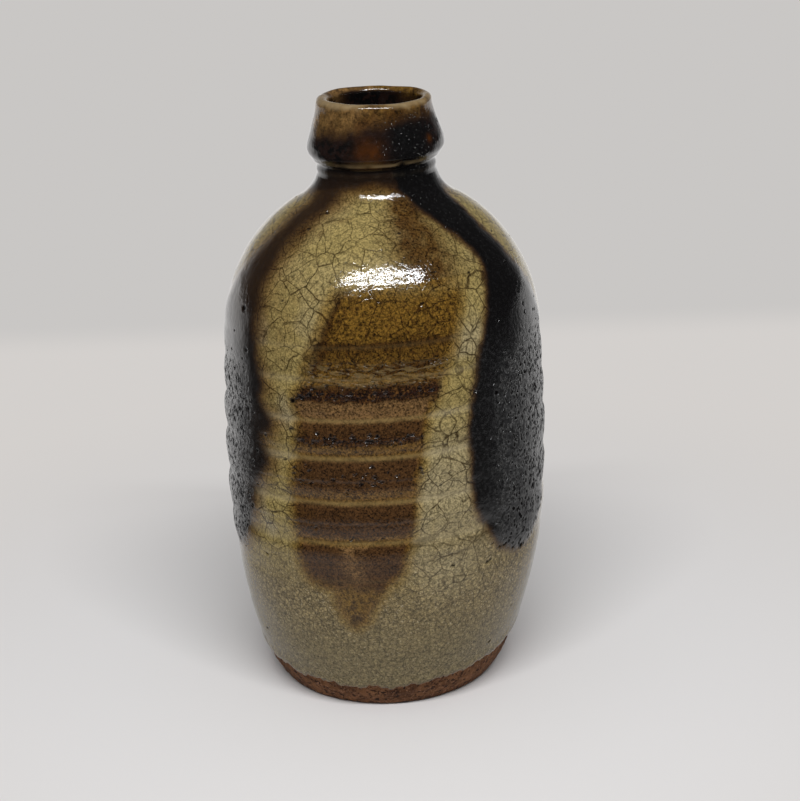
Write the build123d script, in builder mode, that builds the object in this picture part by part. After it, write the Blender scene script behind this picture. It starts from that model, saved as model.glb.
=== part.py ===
"""Ash-glazed stoneware sake bottle with iron runs. Millimetres, +Z up, origin at the base's centre.

The pot is thrown in one piece. Every other sub-part is a coat that the kiln fused on to it: the ash
glaze outside, its liner inside, the iron glaze round the collar, and the iron runs below that.
"""

import os
from math import cos, radians, sin, sqrt

from build123d import *

# Clay body, outside
foot_radius = 31.7  # resting face
heel_radius = 35.0  # top of the foot's bevel
heel_height = 5.0
belly_radius = 44.3
belly_height = 59.8
upper_wall_curve = 640.0  # radius of the almost straight wall over the belly
upper_wall_lean = 4.0  # degrees off upright where the shoulder starts
shoulder_curve = 41.0
shoulder_turn = 57.5  # degrees that the shoulder bends through
neck_radius = 15.5
neck_rise = 9.1  # end of the shoulder to the narrowest neck
ledge_radius = 16.7
ledge_rise = 2.6  # narrowest neck to the ledge under the collar
collar_radius = 18.1
collar_rise = 2.6  # ledge to the collar's widest line
rim_rise = 11.2  # collar's widest line to the centre of the rounded rim

# Clay body, inside
wall_thickness = 4.6
floor_thickness = 7.0
floor_flat_radius = 18.0
floor_sweep_rise = 13.0  # floor to where its sweep meets the wall
mouth_radius = 13.25
rim_half_thickness = 0.8
mouth_length = 16.0  # straight throat below the rim

# Rings that the potter's fingers left on the wall
ring_count = 4
ring_pitch = 11.9
lowest_ring_height = 53.4
ring_depth = 0.7
ring_curve = 6.4  # radius of the groove's section

# Fired coats
glaze_thickness = 0.6
iron_thickness = 0.5
glaze_line_left = 13.0  # bare clay shows below the glaze line
glaze_line_front = 8.0
glaze_line_right = 17.0
iron_band_low_drop = 5.5  # narrowest neck down to the band's lower edge
iron_band_high_rise = 6.0  # collar's widest line up to the band's upper edge

# Iron runs, each a tongue that starts under the band. Azimuths are in degrees from +X.
run_neck_half_width = 9.5
run_full_width_drop = 33.0
run_tip_length = 17.0  # the tip narrows and rounds over this length
front_run_azimuth = -97.0
front_run_half_width = 19.5
front_run_low_half_width = 15.0
front_run_tip_height = 28.0
right_run_azimuth = -34.0
right_run_half_width = 19.0
right_run_low_half_width = 18.0
right_run_tip_height = 43.5
left_run_azimuth = -172.0
left_run_half_width = 23.0
left_run_low_half_width = 21.0
left_run_tip_height = 41.0
back_run_azimuth = 84.0
back_run_half_width = 19.0
back_run_low_half_width = 16.0
back_run_tip_height = 38.0

lean = radians(upper_wall_lean)
shoulder_lean = radians(upper_wall_lean + shoulder_turn)
shoulder_top_height = (
    belly_height
    + upper_wall_curve * sin(lean)
    + shoulder_curve * (sin(shoulder_lean) - sin(lean))
)
neck_height = shoulder_top_height + neck_rise
ledge_height = neck_height + ledge_rise
collar_height = ledge_height + collar_rise
rim_height = collar_height + rim_rise
total_height = rim_height + rim_half_thickness + glaze_thickness
rim_radius = mouth_radius + rim_half_thickness
lower_wall_drop = belly_height - heel_height
lower_wall_set_in = belly_radius - heel_radius
lower_wall_curve = (lower_wall_drop**2 + lower_wall_set_in**2) / (2 * lower_wall_set_in)


def wall_radius(height):
    """Outer radius of the clay wall, without its rings, between the heel and the shoulder."""
    curve = upper_wall_curve if height > belly_height else lower_wall_curve
    return belly_radius - curve + sqrt(curve**2 - (height - belly_height) ** 2)


def outer_face(growth):
    """Half section of the pot taken as solid, grown outwards by the coats on it."""
    belly = (belly_radius + growth, belly_height)
    heel = (heel_radius + growth, heel_height)
    neck = (neck_radius + growth, neck_height)
    under_ledge = (neck_radius + growth, ledge_height - growth)
    ledge = (ledge_radius + growth, ledge_height - growth)
    collar = (collar_radius + growth, collar_height)
    rim_side = (rim_radius + rim_half_thickness + growth, rim_height)
    rim_top = (rim_radius, rim_height + rim_half_thickness + growth)
    with BuildSketch() as section:
        with BuildLine():
            TangentArc(belly, heel, tangent=(0, -1))
            upper_wall = JernArc(belly, (0, 1), upper_wall_curve + growth, upper_wall_lean)
            shoulder = JernArc(upper_wall @ 1, upper_wall % 1, shoulder_curve + growth, shoulder_turn)
            Spline(shoulder @ 1, neck, tangents=[shoulder % 1, (0, 1)])
            Polyline(neck, under_ledge, ledge)
            TangentArc(collar, ledge, tangent=(0, -1))
            Spline(collar, rim_side, tangents=[(0, 1), (0, 1)])
            TangentArc(rim_side, rim_top, tangent=(0, 1))
            Polyline(rim_top, (0, rim_top[1]), (0, 0), (foot_radius, 0), heel)
        make_face()
        for ring in range(ring_count):
            height = lowest_ring_height + ring * ring_pitch
            with Locations((wall_radius(height) + ring_curve - ring_depth, height)):
                Circle(ring_curve - growth, mode=Mode.SUBTRACT)
    return section.sketch


def cavity_face(growth):
    """Half section of the hollow, open past the rim, shrunk by the liner on its wall."""
    inset = wall_thickness + growth
    sweep_height = floor_thickness + floor_sweep_rise
    belly = (belly_radius - inset, belly_height)
    sweep_end = (wall_radius(sweep_height) - inset, sweep_height)
    floor_edge = (floor_flat_radius, floor_thickness + growth)
    throat = (mouth_radius - growth, rim_height - mouth_length)
    rim_side = (mouth_radius - growth, rim_height)
    rim_top = (rim_radius, rim_height + rim_half_thickness + growth)
    above_rim = total_height + rim_half_thickness
    with BuildSketch() as section:
        with BuildLine():
            lower_wall = TangentArc(belly, sweep_end, tangent=(0, -1))
            Spline(floor_edge, sweep_end, tangents=[(1, 0), (lower_wall % 1) * -1])
            upper_wall = JernArc(belly, (0, 1), upper_wall_curve - inset, upper_wall_lean)
            shoulder = JernArc(upper_wall @ 1, upper_wall % 1, shoulder_curve - inset, shoulder_turn)
            Spline(shoulder @ 1, throat, tangents=[shoulder % 1, (0, 1)])
            Line(throat, rim_side)
            TangentArc(rim_side, rim_top, tangent=(0, 1))
            Polyline(rim_top, (rim_radius, above_rim), (0, above_rim), (0, floor_edge[1]), floor_edge)
        make_face()
    return section.sketch


clay_face = outer_face(0)
glazed_face = outer_face(glaze_thickness)
ironed_face = outer_face(glaze_thickness + iron_thickness)
clay_cavity_face = cavity_face(0)
lined_cavity_face = cavity_face(glaze_thickness)

# Thrown clay body: foot, wall, shoulder, neck, collar and rim in one piece
with BuildPart() as stoneware_body:
    with BuildSketch(Plane.XZ):
        add(clay_face)
        add(clay_cavity_face, mode=Mode.SUBTRACT)
    revolve(axis=Axis.Z)
stoneware_body.part.label = "stoneware_body"

# Ash glaze over the outside, from the rim's crown down to its uneven line above the foot
with BuildPart() as outer_glaze:
    with BuildSketch(Plane.XZ):
        add(glazed_face)
        add(clay_face, mode=Mode.SUBTRACT)
        add(clay_cavity_face, mode=Mode.SUBTRACT)
    revolve(axis=Axis.Z)
    with BuildSketch(Plane.XZ):
        with BuildLine():
            left_end = (-belly_radius, glaze_line_left)
            right_end = (belly_radius, glaze_line_right)
            ThreePointArc(left_end, (0, glaze_line_front), right_end)
            Polyline(left_end, (-belly_radius, -heel_height), (belly_radius, -heel_height), right_end)
        make_face()
    extrude(amount=belly_radius, both=True, mode=Mode.SUBTRACT)
outer_glaze.part.label = "outer_glaze"

# Ash glaze liner: floor, wall, throat and the inner half of the rim
with BuildPart() as inner_glaze:
    with BuildSketch(Plane.XZ):
        add(clay_cavity_face)
        add(lined_cavity_face, mode=Mode.SUBTRACT)
    revolve(axis=Axis.Z)
inner_glaze.part.label = "inner_glaze"

# Iron glaze round the neck and the collar, where the runs start
band_low = neck_height - iron_band_low_drop
band_high = collar_height + iron_band_high_rise
with BuildPart() as iron_collar_band:
    with BuildSketch(Plane.XZ):
        add(ironed_face)
        add(glazed_face, mode=Mode.SUBTRACT)
        with Locations((0, band_low)):
            Rectangle(
                belly_radius, band_high - band_low, align=(Align.MIN, Align.MIN), mode=Mode.INTERSECT
            )
    revolve(axis=Axis.Z)
iron_collar_band.part.label = "iron_collar_band"


def iron_run(azimuth, half_width, low_half_width, tip_height):
    """One tongue of iron glaze down the wall, cut from the iron coat square to its own azimuth."""
    outward = (cos(radians(azimuth)), sin(radians(azimuth)), 0)
    sideways = (-sin(radians(azimuth)), cos(radians(azimuth)), 0)
    neck_edge = (run_neck_half_width, band_low)
    wall_edge = (half_width, band_low - run_full_width_drop)
    low_edge = (low_half_width, tip_height + run_tip_length)
    tip = (0, tip_height)
    with BuildPart() as run:
        with BuildSketch(Plane.XZ):
            add(ironed_face)
            add(glazed_face, mode=Mode.SUBTRACT)
        revolve(axis=Axis.Z)
        with BuildSketch(Plane((0, 0, 0), x_dir=sideways, z_dir=outward)):
            with BuildLine():
                Spline(neck_edge, wall_edge, tangents=[(0, -1), (0, -1)])
                Spline(wall_edge, low_edge, tip, tangents=[(0, -1), (-1, 0)])
                Polyline(tip, (0, band_low), neck_edge)
            make_face()
            mirror(about=Plane.YZ)
        extrude(amount=belly_radius + glaze_thickness + ring_curve, mode=Mode.INTERSECT)
    return run.part


iron_run_front = iron_run(
    front_run_azimuth, front_run_half_width, front_run_low_half_width, front_run_tip_height
)
iron_run_right = iron_run(
    right_run_azimuth, right_run_half_width, right_run_low_half_width, right_run_tip_height
)
iron_run_left = iron_run(
    left_run_azimuth, left_run_half_width, left_run_low_half_width, left_run_tip_height
)
iron_run_back = iron_run(
    back_run_azimuth, back_run_half_width, back_run_low_half_width, back_run_tip_height
)
iron_run_front.label = "iron_run_front"
iron_run_right.label = "iron_run_right"
iron_run_left.label = "iron_run_left"
iron_run_back.label = "iron_run_back"

os.makedirs("parts", exist_ok=True)
export_step(stoneware_body.part, "parts/stoneware_body.step")
export_step(outer_glaze.part, "parts/outer_glaze.step")
export_step(inner_glaze.part, "parts/inner_glaze.step")
export_step(iron_collar_band.part, "parts/iron_collar_band.step")
for run in (iron_run_front, iron_run_right, iron_run_left, iron_run_back):
    export_step(run, f"parts/{run.label}.step")

with BuildPart() as contents:
    with BuildSketch(Plane.XZ):
        add(lined_cavity_face)
    revolve(axis=Axis.Z)
print(f"height {total_height:.2f}, holds about {contents.part.volume / 1000:.0f} ml when brim full")
print(f"neck {neck_height:.2f}, ledge {ledge_height:.2f}, rim centre {rim_height:.2f}")
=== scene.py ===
"""Looks of the stoneware sake bottle: crackled ash glaze, iron runs, finger rings and bare clay foot.

The camera looks along +Y. A place on the wall is given by its turn, in degrees from the front (-Y)
towards +X, and by its height. Lengths are in millimetres and become metres in the meshes.
"""

from functools import reduce
from math import cos, pi, radians, sin

import bpy
import numpy as np
from mathutils import Matrix, Vector


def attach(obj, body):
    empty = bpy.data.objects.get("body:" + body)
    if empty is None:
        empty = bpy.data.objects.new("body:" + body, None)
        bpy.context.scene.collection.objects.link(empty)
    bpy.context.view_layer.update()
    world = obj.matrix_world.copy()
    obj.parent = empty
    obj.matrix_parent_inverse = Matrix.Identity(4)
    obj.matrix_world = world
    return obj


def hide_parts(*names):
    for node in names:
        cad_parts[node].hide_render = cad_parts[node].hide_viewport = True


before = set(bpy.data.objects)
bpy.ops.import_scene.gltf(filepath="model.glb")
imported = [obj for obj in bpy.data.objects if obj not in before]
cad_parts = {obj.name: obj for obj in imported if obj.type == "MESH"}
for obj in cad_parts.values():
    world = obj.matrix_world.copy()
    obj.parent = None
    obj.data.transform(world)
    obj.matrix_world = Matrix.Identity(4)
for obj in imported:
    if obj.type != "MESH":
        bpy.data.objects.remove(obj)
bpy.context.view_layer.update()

MM = 0.001

# Outline of the glazed surface, as in the CAD model with its coats on
FOOT_RADIUS = 31.7
HEEL_RADIUS = 35.4
HEEL_HEIGHT = 5
BELLY_RADIUS = 44.9
BELLY_HEIGHT = 59.8
UPPER_WALL_CURVE = 640
UPPER_WALL_LEAN = radians(4)
SHOULDER_CURVE = 41.6
SHOULDER_LEAN = radians(61.5)
NECK_RADIUS = 16.1
NECK_HEIGHT = 146.7
LEDGE_RADIUS = 17.3
LEDGE_HEIGHT = 149.2
COLLAR_RADIUS = 18.7
COLLAR_HEIGHT = 152
RIM_HEIGHT = 163.1
RIM_HALF = 1.4
MOUTH_RADIUS = 12.7
FLOOR_HEIGHT = 7.6
FLOOR_FLAT_RADIUS = 18
WALL_THICKNESS = 5.2
GLAZE = 0.6
UNDER_GLAZE = 0.62
THROAT_GLAZE = 10

# The thrown form is not quite true: its axis leans, and the rim tilts and is a little oval
AXIS_HEIGHTS = (0, 40, 115, 145, 170)
AXIS_SHIFTS = (-1.1, 0.24, 0.24, -0.14, -0.14)
RIM_TILT = radians(1.8)
CROWN_RISE = 0.75
CROWN_TILT = radians(0.9)

# Finger rings: one groove climbs the wall as a spiral. Its height each time it passes the front,
# and its depth there
RING_HEIGHTS = (-4, 8, 20, 32, 44, 55.3, 66.8, 79.3, 89.6, 100.6, 109, 120, 132, 150, 170)
RING_DEPTHS = (0, 0, 0, 0, 0.1, 0.55, 0.66, 0.72, 0.62, 0.3, 0.12, 0, 0, 0, 0)
RING_NUMBERS = np.arange(len(RING_HEIGHTS))
RING_PITCH = 12
RING_TILT = 2.5
GROOVE_ABOVE = 3
GROOVE_BELOW = 1.3

COLUMNS = 720
COLUMN_ZERO = -50
WALL_ROWS = 353
NECK_ROWS = 109
ROW_STEP = 0.4
PIECE_COLUMNS = 180
BACK_STEP = 4
PIT_TRIES = 21000
CLAY_SEEN_HEIGHT = 20
AXIS_HOLE = 1.5


# ---- Numbers
def smooth(low, high, value):
    """0 below low, 1 above high and an even curve between."""
    t = np.clip((value - low) / (high - low), 0, 1)
    return t * t * (3 - 2 * t)


def bump(centre, width, value):
    """A soft hump of height 1 at centre."""
    return np.exp(-(((value - centre) / width) ** 2))


def wave(degrees):
    """Cosine of an angle in degrees."""
    return np.cos(np.radians(degrees))


def most(*masks):
    """The largest of several masks, point by point."""
    return reduce(np.maximum, masks)


def lattice_noise(points, cell, seed):
    """Smooth noise from -1 to 1 whose features are about cell wide."""
    table = np.random.default_rng(seed).uniform(-1, 1, 8192)
    base = np.floor(points / cell).astype(np.int64)
    part = points / cell - base
    part = part * part * (3 - 2 * part)
    total = np.zeros(points.shape[:-1])
    for corner in np.ndindex(2, 2, 2):
        x, y, z = (base[..., i] + corner[i] for i in range(3))
        key = (x * 73856093 ^ y * 19349663 ^ z * 83492791) & 8191
        weight = np.ones(total.shape)
        for i in range(3):
            weight *= part[..., i] if corner[i] else 1 - part[..., i]
        total += weight * table[key]
    return total


def layered_noise(points, cell, seed, layers=2):
    """Noise with finer and weaker layers on top."""
    parts = [lattice_noise(points, cell / 2**layer, seed + layer) / 2**layer for layer in range(layers)]
    return sum(parts) / (2 - 2 / 2**layers)


def drawn_noise(across, up, cell, seed):
    """Noise on the unrolled wall, drawn out where turns or heights are scaled down."""
    return layered_noise(np.stack([across, up, 0 * across], -1), cell, seed)


# ---- Outline
def arc(centre, radius, start, end, step=0.4):
    """Points of a circular arc in the half plane of radius and height."""
    count = max(3, int(abs(end - start) * radius / step))
    angle = np.linspace(start, end, count)
    return np.stack([centre[0] + radius * np.cos(angle), centre[1] + radius * np.sin(angle)], 1)


def line(start, end, step=0.4):
    """Points of a straight stretch."""
    count = max(3, int(np.hypot(end[0] - start[0], end[1] - start[1]) / step))
    part = np.linspace(0, 1, count)[:, None]
    return np.array(start) * (1 - part) + np.array(end) * part


def sweep(start, start_way, end, end_way, step=0.4):
    """Points of a smooth curve that leaves and arrives in given directions."""
    start, end = np.array(start), np.array(end)
    reach = np.hypot(*(end - start))
    t = np.linspace(0, 1, max(4, int(reach / step)))[:, None]
    return (
        (2 * t**3 - 3 * t**2 + 1) * start
        + (t**3 - 2 * t**2 + t) * reach * np.array(start_way)
        + (3 * t**2 - 2 * t**3) * end
        + (t**3 - t**2) * reach * np.array(end_way)
    )


def wall_arcs(inset):
    """Lower wall, upper wall and shoulder, set in from the glazed surface."""
    drop, set_in = BELLY_HEIGHT - HEEL_HEIGHT, BELLY_RADIUS - HEEL_RADIUS
    curve = (drop**2 + set_in**2) / (2 * set_in)
    reach = np.arcsin(drop / curve)
    lower = arc((BELLY_RADIUS - curve, BELLY_HEIGHT), curve - inset, -reach, 0)
    centre = (BELLY_RADIUS - UPPER_WALL_CURVE, BELLY_HEIGHT)
    upper = arc(centre, UPPER_WALL_CURVE - inset, 0, UPPER_WALL_LEAN)
    offset = UPPER_WALL_CURVE - SHOULDER_CURVE
    centre = (centre[0] + offset * cos(UPPER_WALL_LEAN), centre[1] + offset * sin(UPPER_WALL_LEAN))
    shoulder = arc(centre, SHOULDER_CURVE - inset, UPPER_WALL_LEAN, SHOULDER_LEAN)
    return lower, upper, shoulder


def gaps(outline):
    """Distances from each point of an outline to the next."""
    return np.hypot(*np.diff(outline, axis=0).T)


def joined(*stretches):
    """One outline from stretches that meet, with each shared point kept once."""
    points = np.concatenate(stretches)
    return points[np.concatenate([[True], gaps(points) > 0.02])]


def lengths(outline):
    """Length along an outline up to each of its points."""
    return np.concatenate([[0], np.cumsum(gaps(outline))])


def spaced(outline, count):
    """The outline again, as evenly spaced points."""
    length = lengths(outline)
    at = np.linspace(0, length[-1], count)
    return np.stack([np.interp(at, length, outline[:, i]) for i in range(2)], 1)


def neck_outline(step=0.22):
    """Neck, ledge, collar and the rim's crown, down to the inner edge of the rim."""
    shoulder = wall_arcs(0)[2]
    neck, collar = (NECK_RADIUS, NECK_HEIGHT), (COLLAR_RADIUS, COLLAR_HEIGHT + 0.4)
    under_ledge, ledge = (LEDGE_RADIUS - 0.7, LEDGE_HEIGHT - 0.1), (LEDGE_RADIUS + 0.2, LEDGE_HEIGHT + 0.8)
    above_collar, rim = (COLLAR_RADIUS - 0.7, COLLAR_HEIGHT + 3.4), (MOUTH_RADIUS + 2 * RIM_HALF, RIM_HEIGHT)
    leaves = (-sin(SHOULDER_LEAN), cos(SHOULDER_LEAN))
    return joined(
        sweep(shoulder[-1], leaves, neck, (0, 1), step),
        sweep(neck, (0, 1), under_ledge, (0.6, 0.5), step),
        sweep(under_ledge, (0.9, 0.1), ledge, (0.1, 0.9), step),
        sweep(ledge, (0.62, 0.78), collar, (0, 1), step),
        sweep(collar, (0, 0.9), above_collar, (-0.34, 0.94), step),
        sweep(above_collar, (-0.34, 0.94), rim, (-0.06, 1), step),
        arc((MOUTH_RADIUS + RIM_HALF, RIM_HEIGHT), RIM_HALF, 0, pi, step),
        line((MOUTH_RADIUS, RIM_HEIGHT), (MOUTH_RADIUS, RIM_HEIGHT - THROAT_GLAZE), step),
    )


# ---- Places on the surface
def nearest_turn(turn, centre=0):
    """Turn counted the short way from centre."""
    return centre + (turn - centre + 180) % 360 - 180


def columns_round(count):
    """Turns of the columns of a piece that runs all the way round."""
    return nearest_turn(COLUMN_ZERO + 360 * np.arange(count) / count)[None, :]


def ring_count(turn, height):
    """Turns of the ring spiral below a point, a whole number in a groove, and turns climbed from its foot."""
    side = nearest_turn(turn)
    climbed = np.interp(height - RING_TILT * (wave(side) - 1), RING_HEIGHTS, RING_NUMBERS)
    return climbed - side / 360, climbed


def ring_level(turn, height):
    """Height at the front of the same stretch between two rings."""
    return np.interp(ring_count(turn, height)[0], RING_NUMBERS, RING_HEIGHTS)


def nearest_groove(turn, height):
    """Distance above the nearest groove of the spiral, and the depth of that groove."""
    count, climbed = ring_count(turn, height)
    return (count - np.round(count)) * RING_PITCH, np.interp(climbed, RING_NUMBERS, RING_DEPTHS)


def true_places(turn, radius, height):
    """Points in millimetres round a true axis."""
    return np.stack([radius * np.sin(np.radians(turn)), -radius * wave(turn), height], -1)


def placed(turn, radius, height):
    """Points in metres, with the lean, tilt and oval of the real pot."""
    upper, crown = smooth(138, 150, height), smooth(153, 163, height)
    oval = 1 + 0.006 * wave(2 * turn + 40) + 0.01 * upper * wave(2 * turn - 30)
    x, y, z = np.moveaxis(true_places(turn, radius * oval, height), -1, 0)
    z = z + upper * np.tan(RIM_TILT) * x + crown * (CROWN_RISE - np.tan(CROWN_TILT) * x)
    z = z + crown * (0.12 * wave(3 * turn + 50) + 0.05 * wave(8 * turn + 25))
    return np.stack([x + np.interp(height, AXIS_HEIGHTS, AXIS_SHIFTS), y, z], -1) * MM


def outline_normals(outline):
    """Outward directions along an outline that rises."""
    way = np.gradient(outline, axis=0)
    way /= np.hypot(*way.T)[:, None]
    return np.stack([way[:, 1], -way[:, 0]], 1)


# ---- Where each coat lies
# Edges of the iron runs and of the amber run: (height, turn) from the tip up
FRONT_RUN = (
    ((28, -13), (30.2, -16.5), (34.4, -19), (37.5, -19.7), (40, -20.5), (41.3, -25), (41.6, -29.5),
     (45, -32.5), (50, -34), (54, -34.5), (62, -34.5), (70, -35), (75, -33), (88, -32), (94, -34),
     (98, -30), (105, -27), (110, -24), (116, -21), (126, -18)),
    ((28, -13), (29.8, -10), (33.4, -7), (38, -4.5), (41.8, -1.2), (43.4, 2), (47, 4.8), (51.4, 5.8),
     (54, 7), (62, 9), (70, 10), (80, 12), (88, 13.5), (94, 17), (98, 19), (105, 23.5), (112, 27),
     (118, 30.5), (126, 34)),
)
RIGHT_RUN = (
    ((43, 57), (44, 51), (46.5, 44), (50, 38.5), (55, 35), (60, 31), (65, 29.5), (75, 28.5), (86, 28.5),
     (91, 30), (100, 32.5), (110, 36), (115, 39.5), (120, 43), (125, 45.5), (128, 44), (131, 40), (135, 33),
     (139, 26), (144, 14), (152, 8)),
    ((43, 57), (44.5, 63), (50, 71), (58, 79), (70, 84), (90, 85), (100, 83), (110, 80), (115, 77),
     (120, 73), (125, 69), (130, 65), (135, 66), (144, 80), (152, 86)),
)
LEFT_RUN = (
    ((41, -80), (46, -98), (55, -108), (70, -114), (90, -112), (105, -100), (112, -88), (120, -78),
     (126, -71), (132, -66), (137, -65), (144, -76), (152, -82)),
    ((41, -80), (43, -70), (46, -63), (50, -58), (55, -55), (60, -51.5), (66, -50.5), (70, -46),
     (75, -41.5), (80, -47.5), (83, -41), (87, -39.5), (91, -47.5), (95, -44), (100, -47.5), (112, -48.5),
     (120, -48.5), (126, -47), (130, -45.5), (134, -43), (138, -37), (144, -24), (152, -14)),
)
BACK_RUN = (
    ((37, 172), (41, 162), (50, 155), (68, 150), (92, 148), (110, 151), (124, 157), (134, 155),
     (142, 140), (152, 130)),
    ((37, 172), (42, 183), (50, 190), (70, 197), (92, 196), (110, 193), (124, 187), (134, 190),
     (142, 206), (152, 216)),
)

# Ring by ring, how dark the amber run is (0 pale, 1 scorched) and how golden (0 opaque brown, 1 clear gold)
BAND = (
    (28, 0.5), (40, 0.62), (43, 0.84), (53.8, 0.88), (54.6, 0.5), (56.6, 0.5), (58.2, 0.86), (62, 0.93),
    (66, 0.84), (66.6, 0.4), (69.6, 0.5), (72, 0.84), (78.6, 0.84), (79.3, 0.4), (82.4, 0.45), (84, 0.98),
    (85.6, 0.84), (88.6, 0.78), (89.4, 0.35), (92, 0.18), (94.4, 0.22), (95.3, 1), (98.4, 1), (99.6, 0.5),
    (101.6, 0.45), (103, 0.62), (107, 0.6), (109, 0.8), (109.6, 0.85), (110.6, 0.42), (116, 0.36),
    (124, 0.34),
)
GOLDEN = (
    (28, 0.7), (44, 0.1), (54.2, 0.1), (54.8, 0.7), (56.4, 0.6), (57.4, 0.2), (66.2, 0.1), (66.7, 0.6),
    (69.2, 0.6), (70.4, 0.1), (78.8, 0.1), (79.4, 0.7), (82.2, 0.6), (83.4, 0.2), (94.6, 0.15), (95.6, 0.5),
    (98, 0.6), (101, 1),
)

# Height of the glaze's lower edge round the foot: (turn, height)
GLAZE_LINE = ((-180, 9.5), (-140, 10), (-105, 9.5), (-72, 9), (-50, 8.2), (-38, 7.4), (-15, 7.3), (5, 7.4),
              (22, 8.2), (40, 9.6), (60, 11.4), (76, 13), (90, 13.5), (112, 12.5), (150, 10))

# Top of the dark glaze on the collar: (turn, height)
COLLAR_TOP = ((-180, 157), (-120, 159), (-60, 157.4), (-35, 158), (-16, 158.6), (-4, 159.2), (6, 159.8),
              (16, 160.8), (30, 161.5), (60, 161.6), (100, 158.5), (140, 160))


def along(table, at, period=None):
    """A value read along a table of (place, value) pairs."""
    places, values = zip(*table)
    return np.interp(at, places, values, period=period)


def wall_radius(height):
    """Radius of the glazed outside at a height below the collar."""
    profile = joined(*wall_arcs(0), neck_outline()[:40])
    return np.interp(height, profile[:, 1], profile[:, 0])


def rounded(corners, passes):
    """A closed outline with its corners cut off again and again."""
    for _ in range(passes):
        after = np.roll(corners, -1, axis=0)
        corners = np.stack([0.75 * corners + 0.25 * after, 0.25 * corners + 0.75 * after], 1).reshape(-1, 2)
    return corners


def depth_inside(corners, across, up):
    """Distance to a closed outline, positive inside it."""
    nearest, inside = np.full(up.shape, 1e9), np.zeros(up.shape, bool)
    for (x0, z0), (x1, z1) in zip(corners, np.roll(corners, -1, axis=0)):
        dx, dz = x1 - x0, z1 - z0
        part = np.clip(((across - x0) * dx + (up - z0) * dz) / (dx * dx + dz * dz + 1e-12), 0, 1)
        nearest = np.minimum(nearest, (across - x0 - part * dx) ** 2 + (up - z0 - part * dz) ** 2)
        crosses = (z0 > up) != (z1 > up)
        inside ^= crosses & (across < x0 + (up - z0) * dx / (dz if abs(dz) > 1e-9 else 1e-9))
    return np.where(inside, 1, -1) * np.sqrt(nearest)


def run_depth(edges, turn, height, points, wobble, seed, passes=2):
    """How far inside a run a point lies, with a slightly ragged edge."""
    corners = np.array(edges[0] + edges[1][:0:-1], float)
    centre = corners[0, 1]
    corners = np.stack([np.radians(corners[:, 1] - centre) * wall_radius(corners[:, 0]), corners[:, 0]], 1)
    across = np.radians(nearest_turn(turn, centre) - centre) * wall_radius(height)
    return depth_inside(rounded(corners, passes), across, height) + layered_noise(points, 5, seed, 4) * wobble


def edge(depth, soft):
    """0 to 1 across a soft edge."""
    return smooth(-soft, soft, depth)


def iron_masks(turn, height, into_mouth, runs, blotch, grit):
    """Iron of the three broad runs and the band round neck and collar, the brown halo beside it, and the
    places where sheen and glints are painted on it.
    """
    side, (right, left, back) = nearest_turn(turn), runs
    top = along(COLLAR_TOP, side, 360) + 1.2 * blotch
    low = 143.2 + 0.9 * blotch + 1.6 * bump(-4, 14, side) - 2 * smooth(22, 60, np.abs(side))
    throat = bump(-6, 11, side) * smooth(159, 152, height) * smooth(148, 150, height)
    wider = smooth(92, 110, height)
    left_run = edge(left - 0.6, 3 + 1.2 * wider) * (1 - 0.12 * smooth(100, 122, height))
    left_run = left_run * (0.85 + 0.12 * blotch)
    around = smooth(-2.4, 2, height - low) * smooth(3.4, -3.2, height - top + grit + 0.8 * blotch)
    around = around * (0.94 + 0.1 * blotch) * (1 - 0.34 * throat * smooth(154, 151.5, height + 0.8 * grit))
    around = around * (1 - 0.14 * smooth(34, 10, side) * smooth(149.5, 147, height))
    iron = most(edge(right - 0.5 + 0.6 * grit, 2.3), left_run, edge(back, 1.5), around)

    # Inside the mouth it starts just below the crown, highest at the back, with a pale patch on either side
    streak = drawn_noise(0.3 * turn, 0.25 * height, 4, 101)
    pale_inside = most(bump(-122, 20, side), 0.9 * bump(128, 22, side))
    darkens = 0.7 - 0.6 * smooth(105, 150, np.abs(side))
    inner = smooth(darkens, darkens + 1.2, into_mouth + 0.4 * streak)
    inner = inner * (1 - 0.6 * pale_inside * smooth(7, 2, into_mouth))
    iron = np.where(into_mouth > 0, inner, iron)

    stain = bump(19, 12, side) * smooth(116, 128, height) * smooth(0.9, -0.3, grit - 0.3 * blotch)
    cloud = smooth(0, 0.5, blotch + 0.4 * grit) * smooth(-6, -22, side) * smooth(96, 112, height)
    halo = most(
        edge(right + 0.2, 1.6), edge(left + 2.2, 3.6 + 1.6 * wider), edge(back + 1.5, 3),
        smooth(-4.5, 0.5, height - low), smooth(9, 1, height - top) * smooth(151, 153, height),
        0.75 * stain, 0.5 * cloud, 0.34 * bump(-42, 11, side) * bump(116, 13, height) * (1 + grit),
    )
    thick = most(edge(right - 1.5, 3), edge(left - 1.5, 3.4), edge(back, 3)) * smooth(146, 136, height)
    # Sparkle: bubble domes in the relief, with painted glints on them in the colour
    glints = bump(26, 20, side) * smooth(150, 152, height)
    glints = glints + 0.45 * bump(38, 18, side) * smooth(120, 128, height)
    flank = most(
        smooth(30, 62, side) * smooth(140, 112, side) * smooth(116, 88, height + 6 * blotch),
        0.8 * smooth(-48, -62, side) * smooth(-150, -120, side) * smooth(108, 88, height),
        0.7 * smooth(150, 160, np.abs(side)) * smooth(110, 80, height),
    )
    # Painted sheen: grey streaks standing for the reflection of the pale surroundings on the lower left flank
    sheen_place = smooth(-58, -70, side) * smooth(-120, -100, side) * smooth(100, 76, height)
    rust = most(throat * (0.55 + 0.7 * grit), 0.7 * bump(51, 3.2, side) * bump(155.2, 0.9, height))
    return top, dict(
        iron=iron, halo=halo, thick=thick, rust=rust, pitted=iron * flank, haze=iron * sheen_place,
        satin=iron * smooth(118, 100, height), sparkle=iron * glints,
    )


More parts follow.
